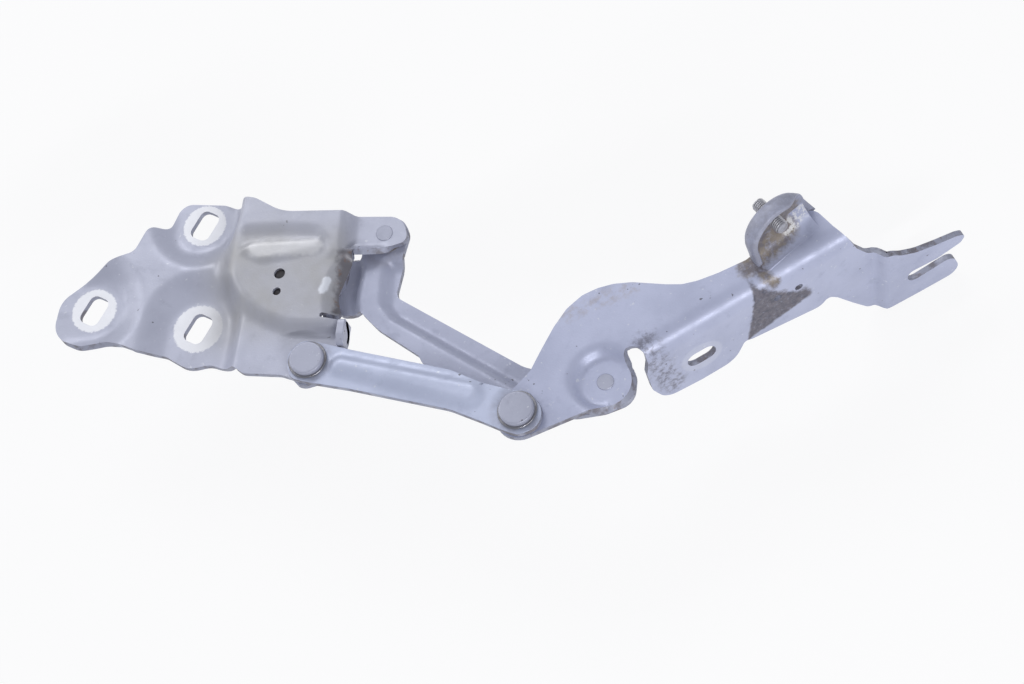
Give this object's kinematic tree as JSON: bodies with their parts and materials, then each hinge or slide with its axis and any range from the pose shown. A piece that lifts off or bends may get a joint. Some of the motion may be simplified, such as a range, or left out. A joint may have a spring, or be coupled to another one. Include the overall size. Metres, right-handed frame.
{
  "type": "bonnet hinge",
  "caption": "Pressed steel bonnet hinge: a slotted body bracket and a forked bonnet arm joined by two riveted links, with a cupped lug and stud for the gas strut.",
  "frame": {"origin": "centre of the middle body slot, in the plane of the bracket's mounting pads", "axes": "+Z away from the body along the pivots, +X along the open hinge from the body slots to the forked end of the bonnet arm, +Y towards pivot B"},
  "size_m": [0.4284, 0.1273, 0.1009],
  "materials": {
    "painted_sheet": "satin grey-lilac paint over pressed steel",
    "painted_rivets": "satin paint, worn at the edges",
    "bush_steel": "steel-backed bush with a dry lining",
    "bare_steel": "bare, dull, threaded"
  },
  "bodies": {
    "bracket": {"body_bracket": "painted_sheet", "rivet_a": "painted_rivets", "washer_a": "painted_rivets", "rivet_b": "painted_rivets", "washer_b": "painted_rivets"},
    "front": {"front_link": "painted_sheet", "head_bush_a": "bush_steel", "sheet_bush_a": "bush_steel", "head_bush_c": "bush_steel", "sheet_bush_c": "bush_steel"},
    "rear": {"rear_link": "painted_sheet", "head_bush_b": "bush_steel", "sheet_bush_b": "bush_steel"},
    "arm": {"bonnet_arm": "painted_sheet", "rivet_c": "painted_rivets", "washer_c": "painted_rivets", "rivet_d": "painted_rivets", "washer_d": "painted_rivets", "head_bush_d": "bush_steel", "sheet_bush_d": "bush_steel", "strut_stud": "bare_steel"}
  },
  "joints": [
    {"name": "front_link_pivot", "type": "hinge", "parent": "bracket", "child": "front", "pos_m": [0.0647, -0.0243, 0], "axis": [0, 0, 1], "range_deg": [-68, 0]},
    {"name": "rear_link_pivot", "type": "hinge", "parent": "bracket", "child": "rear", "pos_m": [0.0907, 0.0432, 0], "axis": [0, 0, 1], "range_deg": [-51.7, 0]},
    {"name": "bonnet_arm_pivot", "type": "hinge", "parent": "front", "child": "arm", "pos_m": [0.1677, -0.0488, 0], "axis": [0, 0, 1], "range_deg": [0, 106.1]}
  ],
  "couplings": [
    {"joint": "rear_link_pivot", "follows": "front_link_pivot", "ratio": 0.76},
    {"joint": "bonnet_arm_pivot", "follows": "front_link_pivot", "ratio": -1.56}
  ]
}
